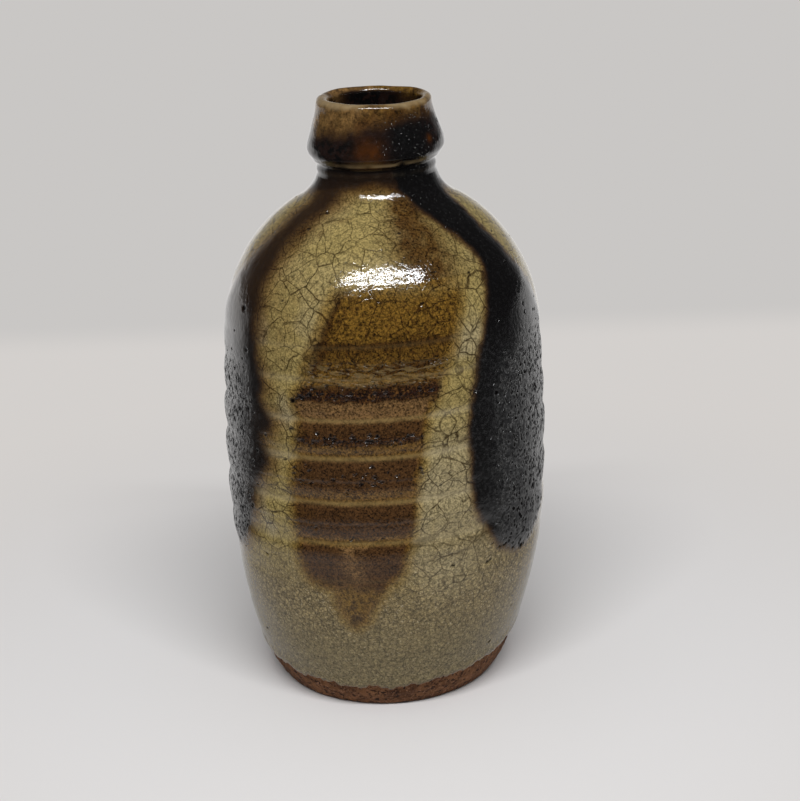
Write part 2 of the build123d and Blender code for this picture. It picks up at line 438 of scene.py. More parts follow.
def amber_masks(turn, height, into_mouth, front, top, places, blotch, grit):
    """The front run, the veils under the neck and the thin iron on the collar."""
    side, level = nearest_turn(turn), ring_level(turn, height)
    drips = drawn_noise(0.3 * turn, 0.12 * height, 1.4, 104)
    wavy = drawn_noise(0.28 * turn, 1.3 * height, 1.9, 105)
    near_tip = smooth(43.5, 38.5, height + 1.6 * grit)
    tip = near_tip * edge(front, 3)
    soft = 1.1 + 1.3 * smooth(97, 104, height) + 0.7 * smooth(-12, -20, side) * smooth(45, 56, height)
    run = edge(front + 0.5 * grit, soft) * smooth(127.5, 119, height + 2.5 * blotch + grit)
    run = run * (1 - (0.15 + 0.25 * blotch) * near_tip)
    veil = most(
        1.25 * bump(20, 14, side) * smooth(118, 126, height),
        0.7 * bump(-44, 6, side) * smooth(126, 134, height),
        0.9 * bump(-4, 26, side) * smooth(139.5, 143.5, height),
    )
    veil = np.clip(veil * (0.95 + 0.6 * grit + 0.3 * blotch), 0, 1) * 0.95
    collar = smooth(149.6, 151, height)
    thin = 0.5 + 0.55 * drips + 0.35 * blotch - 0.55 * smooth(-8, -38, side) * smooth(-150, -100, side)
    thin = collar * (thin + 0.3 * smooth(0, 35, side) * smooth(150, 100, side))
    amber = np.where(into_mouth > 0, 0.9, most(run, veil, thin))

    # How dark and how golden: it changes from ring to ring
    rim_width = np.where(side < -14, 3.6, 2.4)
    inside = front + 0.9 * grit
    pale_centre = bump(-13, 6, side) * smooth(56, 54, height) * (0.55 + 0.45 * smooth(42, 48, height))
    upper_edge = smooth(-5, -15, side) * smooth(100, 105, height) * smooth(125, 121, height)
    band = along(BAND, level + 0.7 * grit) - 0.55 * pale_centre * (0.7 + 0.6 * grit)
    band = band - 0.3 * smooth(rim_width + 0.6, 0.4, inside) * smooth(126, 110, height)
    band = band + 0.75 * bump(1.8, 1.5, front + 0.4 * grit) * upper_edge
    band = band + 0.4 * bump(109.4, 0.5, level + 0.2 * grit)
    band = band + 0.45 * bump(102.6, 1.8, level) * smooth(0.05, -0.35, wavy)
    band = band + 0.7 * tip * smooth(-0.05, 0.35, layered_noise(places, 3.2, 106))
    left_end = bump(-29, 4, side) * (bump(85, 2.4, level) + bump(73, 2.2, level) + bump(63, 3, level))
    gold = most(0.7 * left_end * (1 + grit), along(GOLDEN, level + 0.3 * grit), tip)
    gold = most(gold, 0.8 * smooth(rim_width, 0.6, inside))
    dark_collar = 0.3 * bump(20, 18, side) + 0.35 * blotch + 0.35 * drips + 0.45 * smooth(5, 0, height - top)
    higher = [height > 150, height > 124]
    band = np.select(higher, [0.4 + dark_collar, 0.78 + 0.25 * blotch], band)
    gold = np.select(higher, [0.25 + 0.6 * smooth(-25, 15, side), 0.75], gold)
    lines = bump(96.6, 1.9, level + 0.5 * grit) + 0.7 * bump(84.3, 1.1, level + 0.5 * grit)
    crawled = bump(102.2, 2.2, level + 0.6 * blotch) * edge(front, 1.5)
    crawled = most(crawled, 0.8 * bump(99.6, 0.9, level) * edge(front, 1.2))
    return dict(
        amber=amber, band=band, gold=gold, collar=collar, crawled=crawled, rough=edge(front, 1.1) * lines,
        fringe=edge(front + 1.7, 1.3) * smooth(126, 118, height),
    )


def ash_masks(turn, height, into_mouth, front, places, blotch, grit):
    """The ash glaze's greyer places, its pools in the grooves with painted reflection in them, the pale edges
    where it wore thin, and a painted highlight on the neck's small ridge.
    """
    side, level = nearest_turn(turn), ring_level(turn, height)
    away, groove = nearest_groove(turn, height)
    # Pale colour in the grooves: pooled glaze, with a painted reflection of the pale floor
    pool = bump(0, 1.1 - 0.48 * edge(front, 2), away) * groove / 0.6
    pool = pool * smooth(136, 130, height) * (0.85 + 0.3 * grit)
    ledge = smooth(149.3, 149.7, height) * smooth(150.9, 150.2, height + 0.6 * grit)
    ledge = ledge * (0.62 + 0.8 * grit) * (0.25 + 0.75 * bump(5, 40, side))
    # Painted highlight: a faint pale line on the neck's small ridge
    ridge = 0.08 * bump(146.9, 0.5, height) * smooth(-0.5, 0.6, grit + blotch)
    crown = smooth(162.9, 164.4, height + 0.7 * grit - 0.8 * bump(4, 18, side)) * smooth(1.1, 0.5, into_mouth)
    crown = crown * (0.8 + 0.6 * grit) * smooth(120, 80, np.abs(side))
    patch = bump(20, 15, side) * bump(46, 9, height)
    pale_ash = most(
        smooth(-0.1, 0.4, layered_noise(places, 9, 107)) * (1 - 0.75 * smooth(104, 122, height)),
        smooth(10, 17, side) * smooth(60, 45, side) * smooth(96, 72, height), patch,
    )
    low_ash = smooth(61, 43, level + 3 * blotch - 0.13 * np.clip(side, -60, 60)) * (1 - 0.75 * patch)
    faint_crackle = 0.2 * smooth(124, 134, height) + 0.65 * smooth(139, 147, height)
    return dict(
        pool=pool, worn_edge=most((ledge + ridge) * (into_mouth == 0), crown), pale_ash=pale_ash,
        low_ash=low_ash, deep_ash=smooth(42, 16, height + 4 * blotch),
        faint_crackle=most(faint_crackle, low_ash * (0.62 - 0.6 * patch - 0.25 * blotch)),
    )


def coat_masks(turn, radius, height, above_line, into_mouth):
    """Every coat's strength at each point of the outside, from 0 to 1."""
    places = true_places(turn, radius, height)
    blotch, grit = layered_noise(places, 14, 11, 3), layered_noise(places, 2.2, 21)
    right, left, back, front = (
        run_depth(run, turn, height, places, wobble, seed, passes) for run, wobble, seed, passes in (
            (RIGHT_RUN, 1.1, 31, 2), (LEFT_RUN, 1.1, 41, 1), (BACK_RUN, 1.8, 51, 2), (FRONT_RUN, 0.9, 61, 1)
        )
    )
    top, masks = iron_masks(turn, height, into_mouth, (right, left, back), blotch, grit)
    masks |= amber_masks(turn, height, into_mouth, front, top, places, blotch, grit)
    masks |= ash_masks(turn, height, into_mouth, front, places, blotch, grit)
    masks["halo"] = most(masks["halo"], 0.9 * smooth(1.7, 0.3, above_line))
    return {name: np.clip(mask, 0, 1) for name, mask in masks.items()}


# ---- Relief
def groove_depth(turn, height):
    """Depth of the finger rings, below zero on the ridges between them."""
    away, depth = nearest_groove(turn, height)
    width = np.where(away > 0, GROOVE_ABOVE, GROOVE_BELOW)
    groove = bump(0, width, away) - 0.35 * bump(-4.2, 2.6, away) - 0.1 * bump(6, 2, away)
    return depth * (1 + 0.25 * wave(turn + 100)) * groove


def form_relief(turn, height, places):
    """Thrown relief: finger rings, the neck's small ridge, the slow waver of the wall and the rim."""
    waver = layered_noise(places, 26, 71) * 0.35
    waver = waver * smooth(8, 20, height) * (1 - 0.6 * smooth(135, 150, height))
    fuller = 0.45 * bump(-95, 50, nearest_turn(turn)) * smooth(155, 161, height)
    neck = 0.18 * bump(146.9, 0.7, height) - 0.12 * bump(148.3, 0.7, height) - 0.1 * bump(145.4, 0.7, height)
    return waver + fuller + neck - groove_depth(turn, height)


def pit_fields(turn, radius, height, masks):
    """Dents and their cores, painted dark as shade inside the holes, scattered where the glaze blistered."""
    rows, columns = height.shape
    scatter = np.random.default_rng(5)
    dent, core = np.zeros(height.shape), np.zeros(height.shape)
    level = ring_level(turn, height)
    rows_of_holes = bump(84.6, 1.5, level) + 0.6 * bump(74, 2.2, level) + 0.7 * bump(97, 1.6, level)
    chance = 0.003 + 0.3 * masks["pitted"] + 0.03 * masks["iron"] * smooth(128, 100, height)
    chance = chance + 0.8 * masks["amber"] * rows_of_holes * smooth(125, 110, height)
    for _ in range(PIT_TRIES):
        row, column = int(scatter.integers(12, rows - 20)), int(scatter.integers(0, columns))
        size = scatter.uniform(0.22, 0.4) * (1 + 0.6 * (scatter.random() > 0.95))
        if scatter.random() > chance[row, column]:
            continue
        reach = int(np.ceil(2.2 * size / ROW_STEP))
        near_rows = np.arange(max(0, row - reach), min(rows, row + reach + 1))
        near_columns = np.arange(column - reach, column + reach + 1) % columns
        up = (near_rows - row)[:, None] * ROW_STEP
        across = (np.arange(-reach, reach + 1) * 2 * pi * radius[row, column] / columns)[None, :]
        stamp = np.exp(-((up**2 + (0.8 * across) ** 2) / size**2))
        window = np.ix_(near_rows, near_columns)
        dent[window] = most(dent[window], 0.36 * size * stamp)
        core[window] = most(core[window], np.clip(2.4 * stamp - 0.25, 0, 1))
    return dent, core


def skin_relief(turn, height, above_line, masks, places, dent):
    """Relief of the fired coats: thick runs, orange peel, blisters and the rolled lower edge."""
    side = nearest_turn(turn)
    thick = 0.32 * masks["thick"] + 0.16 * masks["amber"] * (1 - masks["band"]) * smooth(140, 125, height)
    pools = np.where(side > 0, 0.62 - 0.35 * smooth(58, 80, side), 0.3 + 0.3 * smooth(-75, -50, side))
    thick = thick + pools * masks["thick"] * groove_depth(turn, height)
    peel = lattice_noise(places, 1.5, 81) * (0.014 + 0.03 * masks["pitted"] + 0.02 * masks["collar"])
    ripple = lattice_noise(places, 4.5, 82) * 0.05
    crust = lattice_noise(places, 1.1, 83) * 0.18 * masks["rough"]
    roll = np.sqrt(1 - (1 - np.clip(above_line / 0.9, 0, 1)) ** 2)
    bead = 0.22 * bump(1.6, 1.3, above_line)
    pooled = 0.1 * masks["pool"]
    return (GLAZE + thick + peel + ripple + crust + bead + pooled - dent) * roll - GLAZE + 0.03


# ---- Meshes
def grid_normals(points):
    """Smooth normals of a grid of points whose columns run all the way round."""
    wrapped = np.concatenate([points[:, -1:], points, points[:, :1]], 1)
    normal = np.cross(wrapped[:, 2:] - wrapped[:, :-2], np.gradient(points, axis=0))
    return normal / np.linalg.norm(normal, axis=-1, keepdims=True)


def grid_faces(grid, closed, first=0):
    """Numbers of a grid's points, its quads and the places of their corners from 0 to 1."""
    rows, columns = grid.shape[:2]
    last = columns if closed else columns - 1
    index = first + np.arange(rows * columns).reshape(rows, columns)
    if closed:
        index = np.concatenate([index, index[:, :1]], 1)
    r, c = (each.ravel() for each in np.meshgrid(np.arange(rows - 1), np.arange(last), indexing="ij"))
    corners = ((r, c), (r, c + 1), (r + 1, c + 1), (r + 1, c))
    quads = np.stack([index[corner] for corner in corners], 1)
    return index, quads, np.stack([np.stack([j / last, i / (rows - 1)], -1) for i, j in corners], 1)


def strip_faces(front, back):
    """Faces that join an edge of the front to the coarser edge of the back."""
    return [
        front[k * BACK_STEP:(k + 1) * BACK_STEP + 1].tolist() + back[[k + 1, k]].tolist()
        for k in range(len(back) - 1)
    ]


def added(name, data):
    """A new object in the scene."""
    thing = bpy.data.objects.new(name, data)
    bpy.context.scene.collection.objects.link(thing)
    return thing


def make_piece(name, nodes, front, normals, masks, material, back=None, closed=True):
    """A closed mesh: a fine front, and a coarser back with strips between them or a cap at each end."""
    index, quads, corners = grid_faces(front, closed)
    points, faces, extra = [front.reshape(-1, 3)], quads.tolist(), []
    spots = [(corners * (1, 0.95) + (0, 0.05)).reshape(-1, 2)]
    if back is None:
        for number, ring in enumerate((index[-1], index[0][::-1])):
            points.append(points[0][ring[:-1]].mean(0)[None])
            extra += [[a, b, len(points[0]) + number] for a, b in zip(ring[:-1].tolist(), ring[1:].tolist())]
    else:
        back_index, quads, corners = grid_faces(back, closed, len(points[0]))
        points.append(back.reshape(-1, 3))
        faces += quads[:, ::-1].tolist()
        spots.append((corners[:, ::-1] * (1, 0.03)).reshape(-1, 2))
        edges = [(index[0][::-1], back_index[0][::-1]), (index[-1], back_index[-1])]
        if not closed:
            edges += [(index[:, 0], back_index[:, 0]), (index[::-1, -1], back_index[::-1, -1])]
        for edge_pair in edges:
            extra += strip_faces(*edge_pair)
    points = np.concatenate(points)
    faces += extra
    spots.append(np.tile((0.5, 0.04), (sum(map(len, extra)), 1)))

    mesh = bpy.data.meshes.new(name)
    mesh.from_pydata(points.tolist(), [], faces)
    mesh.polygons.foreach_set("use_smooth", np.ones(len(faces), bool))
    texture_map = mesh.uv_layers.new(name="OFBake")
    texture_map.uv.foreach_set("vector", np.concatenate(spots).astype(np.float32).ravel())
    for mask, values in masks.items():
        full = np.zeros(len(points), np.float32)
        full[:values.size] = values.ravel()
        mesh.attributes.new(mask, "FLOAT", "POINT").data.foreach_set("value", full)
    own_normals = np.zeros(points.shape)
    own_normals[:normals.size // 3] = normals.reshape(-1, 3)
    mesh.normals_split_custom_set_from_vertices(own_normals.tolist())
    mesh.materials.append(material)
    piece = added(name, mesh)
    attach(piece, "root")
    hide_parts(*nodes)


# ---- The glazed outside
def row_shares():
    """Rows from the glaze line up: close together on the rolled edge, then even."""
    edge_steps = (0.05, 0.07, 0.1, 0.13, 0.17, 0.2, 0.24, 0.28, 0.32, 0.36)
    steps = np.concatenate([[0], edge_steps, np.full(WALL_ROWS - 1 - len(edge_steps), ROW_STEP)])
    places = np.cumsum(steps)
    return places / places[-1]


def outside():
    """Points, normals and masks of the whole glazed outside, from the glaze line into the mouth."""
    turn = columns_round(COLUMNS)
    ragged = true_places(turn, 45, 0 * turn) * (1, -1, 1)
    line_height = along(GLAZE_LINE, turn, 360) + 0.7 * layered_noise(ragged, 6, 91, 4)
    line_height = line_height + 1.1 * layered_noise(ragged, 2.4, 92, 3)
    wall, neck = joined(*wall_arcs(0)), spaced(neck_outline(), NECK_ROWS)[1:]
    length = lengths(wall)
    start = np.interp(line_height, wall[:, 1], length)
    place = start + (length[-1] - start) * row_shares()[:, None]
    wall = np.concatenate([wall, outline_normals(wall)], 1)
    tall = np.concatenate([neck, outline_normals(neck)], 1)
    radius, height, out, up = (
        np.concatenate([np.interp(place, length, low), np.broadcast_to(high[:, None], (len(high), COLUMNS))])
        for low, high in zip(wall.T, tall.T)
    )
    turn = np.broadcast_to(turn, height.shape)
    places = true_places(turn, radius, height)

    past_crown = np.arange(len(neck)) > np.argmax(neck[:, 1])
    into_mouth = np.where(past_crown, neck[:, 1].max() - neck[:, 1], 0)
    into_mouth = np.concatenate([np.zeros(WALL_ROWS), into_mouth])[:, None]
    masks = coat_masks(turn, radius, height, height - line_height, into_mouth)
    dent, masks["pit"] = pit_fields(turn, radius, height, masks)
    form = form_relief(turn, height, places)
    skin = form + skin_relief(turn, height, height - line_height, masks, places, dent)
    del masks["thick"]
    front = placed(turn, radius + out * skin, height + up * skin)
    under = form - UNDER_GLAZE
    return front, placed(turn, radius + out * under, height + up * under), grid_normals(front), masks


# ---- Materials
EDGES = "DISTANCE_TO_EDGE"


class Nodes:
    """Short calls for the nodes of one node tree."""

    def __init__(self, owner):
        owner.use_nodes = True
        self.tree = owner.node_tree

    def put(self, socket, value):
        """Gives a socket what another socket puts out, or a value of its own."""
        if isinstance(value, bpy.types.NodeSocket):
            self.tree.links.new(value, socket)
        else:
            socket.default_value = (*value, 1) if socket.type == "RGBA" else value

    def node(self, kind, inputs={}, output=0, **settings):
        made = self.tree.nodes.new("ShaderNode" + kind)
        for setting, value in settings.items():
            setattr(made, setting, value)
        for socket, value in inputs.items():
            self.put(made.inputs[socket], value)
        return made.outputs[output]

    def math(self, operation, first, *others):
        """Several values joined one after another by the same operation."""
        for other in others:
            first = self.node("Math", {0: first, 1: other}, operation=operation)
        return first

    def both(self, *masks):
        return self.math("MULTIPLY", *masks)

    def total(self, *values):
        return self.math("ADD", *values)

    def step(self, low, high, value, curve="SMOOTHSTEP"):
        """0 to 1 as the value goes from low to high, evenly curved."""
        return self.node("MapRange", {0: value, 1: low, 2: high}, interpolation_type=curve)

    def scaled(self, low, high, value):
        """Values from low to high as the mask goes from 0 to 1."""
        return self.node("MapRange", {0: value, 3: low, 4: high})

    def ray(self, kind):
        return self.node("LightPath", output=f"Is {kind} Ray")

    def blended(self, factor, first, second):
        """One shader that turns into another."""
        return self.node("MixShader", {0: factor, 1: first, 2: second})

    def show(self, shader):
        output = next(node for node in self.tree.nodes if node.type.startswith("OUTPUT"))
        self.put(output.inputs["Surface"], shader)


class Material(Nodes):
    """A material under construction."""

    def __init__(self, name):
        self.material = bpy.data.materials.new(name)
        super().__init__(self.material)
        self.surface = self.tree.nodes["Principled BSDF"]
        self.places = self.stretched(self.node("TexCoord", output="Object"), 1 / MM, 1 / MM)

    def moved(self, operation, places, by):
        return self.node("VectorMath", {0: places, 1: by}, operation=operation)

    def stretched(self, places, across, up):
        return self.moved("MULTIPLY", places, (across, across, up))

    def mix(self, factor, first, second, blend="MIX"):
        return self.node("Mix", {0: factor, 6: first, 7: second}, 2, data_type="RGBA", blend_type=blend)

    def layered(self, colour, *layers):
        """A colour with others laid over it, each where its mask says."""
        for mask, over in layers:
            colour = self.mix(mask, colour, over)
        return colour

    def noise(self, cell, detail=3, rough=0.55, places=None, output="Fac"):
        """Noise from 0 to 1, with features about cell millimetres wide."""
        inputs = {"Vector": places or self.places, "Scale": 1 / cell, "Detail": detail, "Roughness": rough}
        return self.node("TexNoise", inputs, output)

    def cells(self, cell, places, feature="F1", output="Distance"):
        """Distance in mm from the middle or the edge of random cells, or a colour for each cell."""
        found = self.node("TexVoronoi", {"Vector": places, "Scale": 1 / cell}, output, feature=feature)
        return self.both(found, cell) if output == "Distance" else found

    def shifted(self, places, shift, amount):
        """Places moved by a colour times an amount in millimetres."""
        shift = self.moved("SUBTRACT", shift, (0.5, 0.5, 0.5))
        return self.moved("ADD", places, self.stretched(shift, amount, amount))

    def drifted(self, places, cell, detail, amount):
        return self.shifted(places, self.noise(cell, detail, 0.5, output="Color"), amount)

    def crackle(self, cell, small_cell):
        """Distance in mm to the long cracks, and to the short ones that end against them."""
        bent = self.drifted(self.drifted(self.places, 11, 2, 5), 1.2, 2, 0.3)
        own = self.shifted(bent, self.cells(cell, bent, output="Color"), 200)
        return self.cells(cell, bent, EDGES), self.cells(small_cell, own, EDGES)

    def lit(self, colour, light):
        """A colour made darker or lighter."""
        return self.mix(1, colour, self.node("CombineColor", {0: light, 1: light, 2: light}), "MULTIPLY")

    def relief(self, *layers):
        """The surface's direction over several fine reliefs: (height, distance, strength)."""
        normal = {}
        for height, distance, strength in layers:
            inputs = {"Height": height, "Distance": distance, "Strength": strength} | normal
            normal = {"Normal": self.node("Bump", inputs)}
        return normal["Normal"]

    def finished(self, **inputs):
        """The material, once its surface has what the inputs say."""
        for name, value in inputs.items():
            self.put(self.surface.inputs[name.replace("_", " ")], value)
        return self.material


STRAW = (0.268, 0.204, 0.074)
STRAW_GREY = (0.292, 0.238, 0.126)
LOW_ASH = (0.283, 0.213, 0.098)
LOW_ASH_GREEN = (0.124, 0.092, 0.039)
LOW_ASH_PALE = (0.41, 0.34, 0.21)
LOW_ASH_LINE = (0.05, 0.036, 0.016)
DEEP_ASH = (0.15, 0.123, 0.064)
OLIVE_BROWN = (0.225, 0.165, 0.068)
OCHRE_FRINGE = (0.185, 0.11, 0.018)
BROWN_FRINGE = (0.115, 0.055, 0.014)
GOLD = (0.134, 0.071, 0.011)
GOLD_DEEP = (0.045, 0.02, 0.004)
PALE_BROWN = (0.15, 0.084, 0.034)
UMBER = (0.056, 0.026, 0.0095)
SCORCHED = (0.016, 0.005, 0.002)
SINGED = (0.085, 0.036, 0.007)
WORN_EDGE_AND_HIGHLIGHT = (0.275, 0.2, 0.105)
RUST = (0.078, 0.023, 0.0025)
POOLED_AND_GLINT = (0.24, 0.165, 0.062)
POOLED_ASH_AND_REFLECTION = (0.37, 0.31, 0.19)
IRON_BLACK = (0.0034, 0.003, 0.003)
IRON_GREY_AND_SHEEN = (0.046, 0.046, 0.046)
PAINTED_PIT_RIM_HIGHLIGHT = (0.11, 0.11, 0.106)
IRON_PAINTED_SHEEN = (0.105, 0.098, 0.1)
IRON_BROWN = (0.022, 0.0105, 0.005)
IRON_PLUM = (0.0135, 0.0065, 0.005)
CRACK = (0.026, 0.013, 0.004)
AMBER_CRACK = (0.012, 0.004, 0.001)
PAINTED_PIT_SHADE = (0.003, 0.002, 0.002)
PAINTED_GLINT = (0.3, 0.3, 0.29)
CLAY_DARK = (0.105, 0.042, 0.016)
CLAY_RED = (0.235, 0.105, 0.044)
SAND = (0.31, 0.15, 0.082)
SCORCHED_CLAY = (0.03, 0.012, 0.006)
LINER_DARK = (0.022, 0.012, 0.006)
LINER_PALE = (0.1, 0.062, 0.026)
GLASS_IOR = 1.52


def glaze_material():
    """Ash glaze with crackle, the amber run's bands and the iron over them."""
    shader = Material("fired_glaze")
    mix, layered, noise, both = shader.mix, shader.layered, shader.noise, shader.both
    step, scaled, total = shader.step, shader.scaled, shader.total
    names = (
        "iron halo amber band gold fringe pool worn_edge low_ash pale_ash deep_ash pit pitted rough satin "
        "sparkle faint_crackle collar rust haze crawled"
    )
    (
        iron, halo, amber, band, gold, fringe, pool, worn_edge, low_ash, pale_ash, deep_ash, pit, pitted,
        rough, satin, sparkle, faint, collar, rust, haze, crawled,
    ) = (shader.node("Attribute", output="Fac", attribute_name=name) for name in names.split())

    # Noises that the coats share, and the cracks
    mottle = noise(1.3, 4, 0.7)
    grain = step(0.34, 0.66, noise(0.85, 2, 0.65))
    fine_grain = step(0.34, 0.66, noise(0.45, 1))
    coarse_grain = noise(0.95, 3, 0.65)
    clouds = step(0.36, 0.64, noise(2.3, 3, 0.65))
    streaked = noise(1.1, 3, 0.6, shader.stretched(shader.places, 1, 0.3))
    rippled = noise(1.1, 2, 0.6, shader.stretched(shader.places, 0.45, 1.5))
    drifting = shader.drifted(shader.places, 0.9, 1, 0.6)
    long_cracks, short_cracks = shader.crackle(7, 4.2)
    worn = step(0.36, 0.6, noise(4, 3))
    crack = shader.math(
        "MAXIMUM",
        both(step(0.22, 0.07, long_cracks), scaled(0.6, 0.95, worn)),
        both(step(0.18, 0.05, short_cracks), scaled(0.28, 0.72, worn)),
    )
    crack = both(crack, scaled(1, 0, faint))
    hairlines = step(0.17, 0.05, shader.cells(1.7, drifting, EDGES))

    # Colours of the ash glaze and of the amber run over it
    low = layered(
        LOW_ASH_GREEN,
        (step(0.4, 0.58, noise(0.75, 4, 0.8)), LOW_ASH),
        (step(0.58, 0.66, noise(0.65, 3, 0.7)), LOW_ASH_PALE),
        (both(hairlines, scaled(0.35, 1, mottle)), LOW_ASH_LINE),
        (both(deep_ash, 0.55), DEEP_ASH),
    )
    ash = layered(
        mix(pale_ash, STRAW, STRAW_GREY),
        (low_ash, low),
        (collar, OLIVE_BROWN),
        (both(fringe, 0.55), OCHRE_FRINGE),
        (both(halo, scaled(0.65, 1, mottle)), BROWN_FRINGE),
        (both(crack, scaled(0.92, 0.7, low_ash)), CRACK),
    )
    clear = layered(GOLD_DEEP, (step(0.3, 0.58, mottle), GOLD), (step(0.35, 0.95, band), GOLD_DEEP))
    warm = layered(
        mix(step(0.2, 0.8, band), PALE_BROWN, UMBER),
        (gold, clear),
        (rough, mix(step(0.48, 0.66, coarse_grain), SCORCHED, SINGED)),
        (both(crack, scaled(0.15, 0.75, gold)), AMBER_CRACK),
    )
    speck = both(step(0.62, 0.7, coarse_grain), scaled(0.3, 0.8, low_ash))
    colour = layered(ash, (amber, warm), (speck, CRACK))

    # Light and dark grain, pools with painted reflection, and the iron with its blisters and bubbles, with
    # painted sheen, glints, rim highlights and shade in the pits
    swing = total(scaled(0.58, 0.85, amber), both(rough, 0.3))
    swing = both(swing, scaled(1, 0.8, faint), scaled(1, 0.75, collar))
    grains = total(scaled(-0.48, 0.48, grain), scaled(-0.48, 0.48, fine_grain))
    light = total(1, both(grains, swing), both(collar, scaled(-0.36, 0.36, clouds)))
    # Crawled band: real ripple relief, with painted glints along the wavy lines
    wavy_glint_lines = both(crawled, step(0.49, 0.58, rippled))
    pools_and_reflection = both(pool, scaled(0.5, 0.75, amber), scaled(0.7, 1, grain))
    metal = layered(
        IRON_BROWN,
        (step(0.6, 0.98, iron), IRON_BLACK),
        (both(collar, step(0.42, 0.62, clouds), scaled(0.8, 0, sparkle)), IRON_PLUM),
        # Grey: real crystal specks on the satin iron, and painted sheen mottles between the blisters on the
        # pitted flank
        (both(step(0.5, 0.66, coarse_grain), scaled(0.1, 0.35, satin)), IRON_GREY_AND_SHEEN),
        (both(pitted, step(0.34, 0.6, coarse_grain)), IRON_GREY_AND_SHEEN),
        # Painted sheen: grey streaks of reflection on the lower left flank
        (both(haze, step(0.36, 0.62, streaked)), IRON_PAINTED_SHEEN),
        (rust, RUST),
    )
    holes = shader.cells(1.1, shader.stretched(drifting, 1, 0.62))
    blistered = both(step(0.1, 0.6, pitted), step(0.38, 0.46, noise(2.6, 2)))
    hole = shader.math("MAXIMUM", pit, both(step(0.48, 0.32, holes), blistered))
    bubbles = shader.cells(0.95, shader.places)
    colour = layered(
        shader.lit(colour, shader.math("MAXIMUM", light, 0.15)),
        # Pooled glaze with painted reflection in the grooves
        (pools_and_reflection, mix(amber, POOLED_ASH_AND_REFLECTION, POOLED_AND_GLINT)),
        # Painted glints on the crawled ripples
        (both(wavy_glint_lines, 0.45), POOLED_AND_GLINT),
        (step(0.05, 0.85, iron), metal),
        # Pale edges worn thin on the ledge and crown, and the painted highlight on the neck ridge
        (both(worn_edge, 0.85), WORN_EDGE_AND_HIGHLIGHT),
        # Painted highlight: pale rims round the blisters
        (both(step(0.64, 0.48, holes), blistered, 0.6), PAINTED_PIT_RIM_HIGHLIGHT),
        # Painted shade: near-black inside the pits and blisters
        (hole, PAINTED_PIT_SHADE),
        # Painted glints: light dots on the bubbles
        (both(step(0.13, 0.05, bubbles), sparkle, 0.6), PAINTED_GLINT),
    )
    return shader.finished(
        Base_Color=colour,
        Roughness=total(
            scaled(0.07, 0.22, rough), scaled(-0.02, 0.05, mottle), both(satin, 0.16),
            both(pitted, 0.08), both(hole, 0.3),
        ),
        Specular_IOR_Level=both(scaled(0.5, 0.02, hole), scaled(1, 0.55, low_ash)),
        IOR=scaled(GLASS_IOR, 1.85, satin),
        Normal=shader.relief(
            (noise(1, 2), 0.000065, 1),
            (both(noise(1.3, 2, 0.6), pitted), 0.0004, 1),
            (both(streaked, haze), 0.0003, 1),
            (both(coarse_grain, rough), 0.00035, 1),
            (wavy_glint_lines, 0.0002, 1),
            (both(step(0.24, 0, bubbles), sparkle), 0.00022, 1),
            (crack, -0.00003, 0.5),
            (hole, -0.00035, 1),
        ),
    )


def clay_material():
    """Rough red-brown stoneware with sand in it, scorched in places."""
    shader = Material("bare_clay")
    blotch = shader.noise(4, 4, 0.6)
    colour = shader.layered(
        CLAY_DARK,
        (shader.step(0.35, 0.65, blotch), CLAY_RED),
        (shader.step(0.54, 0.66, shader.noise(0.8, 3, 0.7)), SAND),
        (shader.step(0.48, 0.38, shader.noise(1.6, 3, 0.7)), SCORCHED_CLAY),
    )
    normal = shader.relief((shader.noise(1, 4, 0.7), 0.0011, 1))
    dull = shader.scaled(0.8, 0.95, blotch)
    return shader.finished(Base_Color=colour, Roughness=dull, Normal=normal, IOR=1.3)


def liner_material():
    """Ash glaze inside the mouth, stained dark by the iron over the rim."""
    shader = Material("liner_glaze")
    blotch = shader.noise(5, 4, 0.6)
    colour = shader.mix(shader.step(0.35, 0.65, blotch), LINER_DARK, LINER_PALE)
    normal = shader.relief((shader.noise(0.9, 3), 0.0002, 0.6))
    gloss = shader.scaled(0.15, 0.3, blotch)
    return shader.finished(Base_Color=colour, Roughness=gloss, Normal=normal, IOR=GLASS_IOR)


# ---- Pieces
def glaze_pieces(material):
    """The outside in four wall pieces and the collar, each a thin closed shell."""
    front, back, normals, masks = outside()

    def coat(name, node, part, closed):
        make_piece(
            name, (node, "outer_glaze"), front[part], normals[part],
            {mask: values[part] for mask, values in masks.items()}, material,
            back[part][::BACK_STEP, ::BACK_STEP], closed,
        )

    names = (
        ("glaze_front", "amber_glaze", "iron_run_front"),
        ("glaze_right", "iron_glaze", "iron_run_right"),
        ("glaze_back", "ash_glaze", "iron_run_back"),
        ("glaze_left", "iron_glaze", "iron_run_left"),
    )
    for number, (name, slot, node) in enumerate(names):
        columns = (number * PIECE_COLUMNS + np.arange(PIECE_COLUMNS + 1)) % COLUMNS
        coat(name, node, np.s_[:WALL_ROWS, columns], False)
    coat("collar_glaze", "iron_collar_band", np.s_[WALL_ROWS - 1:], True)


def turned(name, node, outline, columns, material, relief):
    """A piece turned round the axis, with its own relief along its outline's normals."""
    shape = (len(outline), columns)
    turn = np.broadcast_to(columns_round(columns), shape)
    radius, height, out, up = (
        np.broadcast_to(values[:, None], shape) for values in (*outline.T, *outline_normals(outline).T)
    )
    offset = relief(turn, radius, height, true_places(turn, radius, height))
    points = placed(turn, radius + out * offset, height + up * offset)
    make_piece(name, (node,), points, grid_normals(points), {}, material)


